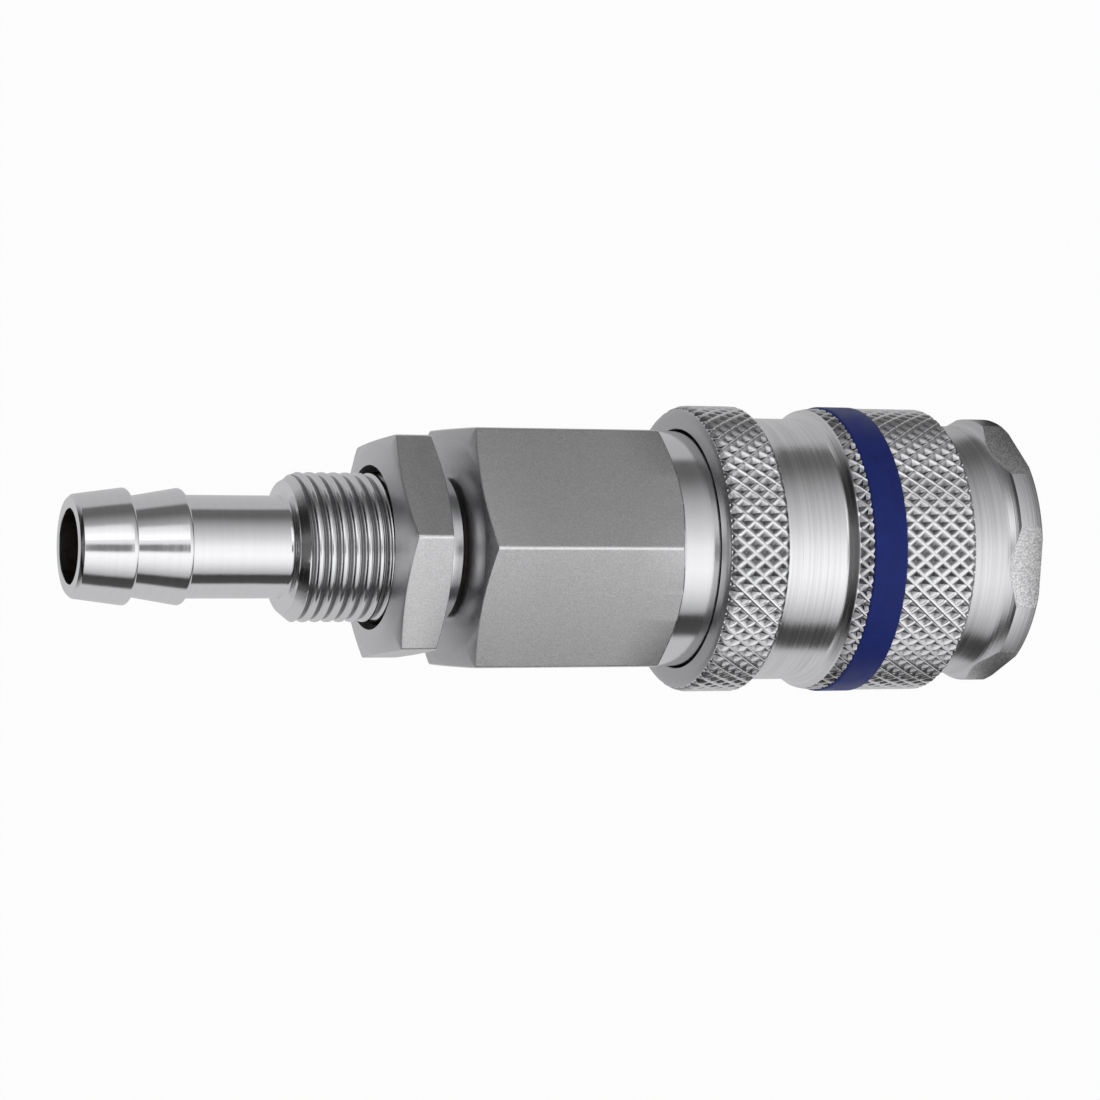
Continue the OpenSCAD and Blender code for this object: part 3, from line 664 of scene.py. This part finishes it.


# Springs

def build_spring(node, body, wire_d, mean_r, low_z, length, turns):
    """A round wire swept along its coil, with closed ends."""
    per_turn, sides = 48, 12
    last = int(round(turns * per_turn))
    closed = wire_d * 1.06
    rise = (length - wire_d - 2 * closed) / (turns - 2)
    verts, faces = [], []
    for i in range(last + 1):
        turn = i / per_turn
        if turn < 1:
            h = closed * turn
        elif turn > turns - 1:
            h = length - wire_d - closed * (turns - turn)
        else:
            h = closed + rise * (turn - 1)
        a = 2 * math.pi * turn
        for k in range(sides):
            b = 2 * math.pi * k / sides
            r = mean_r + wire_d / 2 * math.cos(b)
            z = low_z + wire_d / 2 + h + wire_d / 2 * math.sin(b)
            verts.append((r * math.cos(a), r * math.sin(a), z))
    for i in range(last):
        p, q = i * sides, (i + 1) * sides
        for k in range(sides):
            n = (k + 1) % sides
            faces.append((p + k, q + k, q + n, p + n))
    faces.append(tuple(range(sides)))
    faces.append(tuple(last * sides + k for k in reversed(range(sides))))
    obj = make_piece(f"{node}_wire", verts, faces, [0] * len(faces), [wire], body, node, 40.0)
    # The spring stands between two seats that are 0.02 mm further apart than it is long
    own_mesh(obj)


build_spring("sleeve_spring", "sleeve_spring", wire_d=1.3, mean_r=8.7, low_z=14.22,
             length=11.16, turns=4.5)
build_spring("valve_spring", "body", wire_d=0.7, mean_r=3.2, low_z=21.7, length=9.2,
             turns=6.5)


# Studio: bright and dark cards stand round the object and lie on the floor, as its metal shows them

# Brightness by the angle round the axis, in degrees: 0 towards the camera, growing towards +X
CARDS = [(-180, 0.50), (-93, 0.52), (-87, 0.07), (-66, 0.05), (-60, 0.42), (-47, 0.66), (-35, 0.86),
         (-20, 1.0), (0, 0.92), (15, 0.70), (30, 0.53), (42, 0.41), (52, 0.30), (60, 0.21), (66, 0.15),
         (72, 0.12), (88, 0.13), (95, 0.42), (180, 0.50)]
CARDS_STRENGTH = 1.15
OVERHEAD_SHADE, CAMERA_SHADE, LAMP_GAIN = 0.13, 0.78, 0.75
# Where these stand round the axis, and between which angles their edges fade, in degrees
OVERHEAD_EDGE = (32, 50)
CAMERA_AT, CAMERA_SIDE, CAMERA_FOOT, CAMERA_TOP = -3, (5, 10.5), (-3, 1), (22, 34)
LAMP_AT, LAMP_SIDE, LAMP_FOOT = 29, (12, 18), (-9, -3)
# The lying cards are dark close to the object, out to these distances from the axis: a painted shadow round
# the object's foot, which only the metal sees
FLOOR_DARK_R, FLOOR_LIT_R, FLOOR_SHADE = 11.5 * MM, 14.5 * MM, 0.25
# Share of the floor that is plain white to the camera. The rest keeps the object's shadow
FLOOR_WHITE = 0.97
FLOOR_HALF, FLOOR_Z = 3, -0.0003


def angle_round(tree, split):
    """The angle round the axis of a place or direction, in radians."""
    towards_camera = math_node(tree, "MULTIPLY", split.outputs["Y"], -1.0)
    return math_node(tree, "ARCTAN2", split.outputs["X"], towards_camera)


def split_place(tree, output):
    split = tree.nodes.new("ShaderNodeSeparateXYZ")
    tree.links.new(tree.nodes.new("ShaderNodeTexCoord").outputs[output], split.inputs["Vector"])
    return split


def cards(tree, around, shade):
    """The cards' colour at an angle round the axis, times a shade."""
    ramp = tree.nodes.new("ShaderNodeValToRGB")
    elements = ramp.color_ramp.elements
    while len(elements) < len(CARDS):
        elements.new(0.5)
    for element, (angle, value) in zip(elements, CARDS):
        element.position = (angle + 180) / 360
    for element, (angle, value) in zip(elements, CARDS):
        element.color = (value, value, value * 1.01, 1)
    share = math_node(tree, "ADD", math_node(tree, "MULTIPLY", around, 1 / (2 * math.pi)), 0.5)
    tree.links.new(share, ramp.inputs["Fac"])
    scaled = tree.nodes.new("ShaderNodeVectorMath")
    scaled.operation = "SCALE"
    tree.links.new(ramp.outputs["Color"], scaled.inputs[0])
    tree.links.new(shade, scaled.inputs["Scale"])
    return scaled.outputs["Vector"]


def seen_directly(tree, path):
    """1 where the camera looks at it, also through glass."""
    return math_node(tree, "MAXIMUM", path.outputs["Is Camera Ray"], path.outputs["Is Transmission Ray"])


def emission(tree, color, strength):
    node = tree.nodes.new("ShaderNodeEmission")
    connect(tree, color, node.inputs["Color"])
    node.inputs["Strength"].default_value = strength
    return node.outputs["Emission"]


def mix_shaders(tree, share, first, second):
    node = tree.nodes.new("ShaderNodeMixShader")
    for value, socket in zip((share, first, second), node.inputs):
        tree.links.new(value, socket)
    return node.outputs["Shader"]


def floor_material():
    """White to the camera but for a faint shadow, and to the metal the lying cards, with a painted shadow
    close to the object.
    """
    mat, tree, bsdf = new_material("white_floor", 0.0, 0.9, (0.9, 0.9, 0.9))
    bsdf.inputs["Specular IOR Level"].default_value = 0.0
    # Painted shadow: the lying cards darken within a few millimetres of the axis
    near = fade(tree, from_axis(tree, place(tree)), FLOOR_DARK_R, FLOOR_LIT_R, FLOOR_SHADE, 1.0)
    around = angle_round(tree, split_place(tree, "Object"))
    lying = emission(tree, cards(tree, around, near), CARDS_STRENGTH)
    path = tree.nodes.new("ShaderNodeLightPath")
    by_metal = mix_shaders(tree, path.outputs["Is Glossy Ray"], bsdf.outputs["BSDF"], lying)
    white_share = math_node(tree, "MULTIPLY", seen_directly(tree, path), FLOOR_WHITE)
    by_camera = mix_shaders(tree, white_share, by_metal, emission(tree, (1, 1, 1, 1), 1.0))
    tree.links.new(by_camera, tree.nodes["Material Output"].inputs["Surface"])
    return mat


def build_floor():
    mesh = bpy.data.meshes.new("floor")
    corners = [(-FLOOR_HALF, -FLOOR_HALF), (FLOOR_HALF, -FLOOR_HALF), (FLOOR_HALF, FLOOR_HALF),
               (-FLOOR_HALF, FLOOR_HALF)]
    mesh.from_pydata([(x, y, FLOOR_Z) for x, y in corners], [], [(0, 1, 2, 3)])
    mesh.materials.append(floor_material())
    floor = bpy.data.objects.new("floor", mesh)
    scene.collection.objects.link(floor)


def build_world():
    """White to the camera. To all else the standing cards, a lamp, a dark top and the camera's dark shape."""
    world = bpy.data.worlds.new("studio")
    scene.world = world
    world.use_nodes = True
    tree = world.node_tree
    split = split_place(tree, "Generated")
    around, height = angle_round(tree, split), math_node(tree, "ARCSINE", split.outputs["Z"])

    def within(value, edge, low=0.0, high=1.0):
        return fade(tree, value, math.radians(edge[0]), math.radians(edge[1]), low, high)

    def times(a, b):
        return math_node(tree, "MULTIPLY", a, b)

    def away_from(angle):
        return math_node(tree, "ABSOLUTE", math_node(tree, "SUBTRACT", around, math.radians(angle)))

    overhead = within(height, OVERHEAD_EDGE, 1.0, OVERHEAD_SHADE)
    hole = times(within(away_from(CAMERA_AT), CAMERA_SIDE, 1.0, 0.0), within(height, CAMERA_FOOT))
    hole = times(hole, within(height, CAMERA_TOP, 1.0, 0.0))
    lamp = times(within(away_from(LAMP_AT), LAMP_SIDE, 1.0, 0.0), within(height, LAMP_FOOT))
    lit = math_node(tree, "ADD", 1.0, times(lamp, LAMP_GAIN))
    shade = times(overhead, math_node(tree, "SUBTRACT", lit, times(hole, CAMERA_SHADE)))
    direct = seen_directly(tree, tree.nodes.new("ShaderNodeLightPath"))
    color = mix(tree, direct, cards(tree, around, shade), (1, 1, 1, 1), colors=True)
    background = tree.nodes["Background"]
    connect(tree, color, background.inputs["Color"])
    connect(tree, mix(tree, direct, CARDS_STRENGTH, 1.0), background.inputs["Strength"])


build_floor()
build_world()


# Camera: it looks at a point on the axis from the photograph's height, with the hose tail to the left

CAMERA_RISE, CAMERA_ROLL, CAMERA_DISTANCE = math.radians(21.2), math.radians(0.2), 0.3153
AIM_Z, AIM_SINK = 0.03916, 0.00016
# The lens in pixels of the photograph, and the photograph's width
FOCAL_PIXELS, PHOTO_PIXELS, SENSOR_WIDTH = 3900, 1100, 36.0


def build_camera():
    lens = bpy.data.cameras.new("photo_camera")
    lens.sensor_width = SENSOR_WIDTH
    lens.lens = FOCAL_PIXELS / PHOTO_PIXELS * SENSOR_WIDTH
    lens.clip_start, lens.clip_end = 0.01, 20.0
    camera = bpy.data.objects.new("photo_camera", lens)
    scene.collection.objects.link(camera)
    back = Vector((0, -math.cos(CAMERA_RISE), math.sin(CAMERA_RISE)))
    right = Vector((0, -math.sin(CAMERA_RISE), -math.cos(CAMERA_RISE)))
    up = Vector((1, 0, 0))
    stand = Matrix.Translation(Vector((0, 0, AIM_Z)) + back * CAMERA_DISTANCE - up * AIM_SINK)
    axes = Matrix((right, up, back)).transposed().to_4x4()
    camera.matrix_world = stand @ axes @ Matrix.Rotation(CAMERA_ROLL, 4, "Z")
    scene.camera = camera


build_camera()
scene.view_settings.view_transform = "Standard"
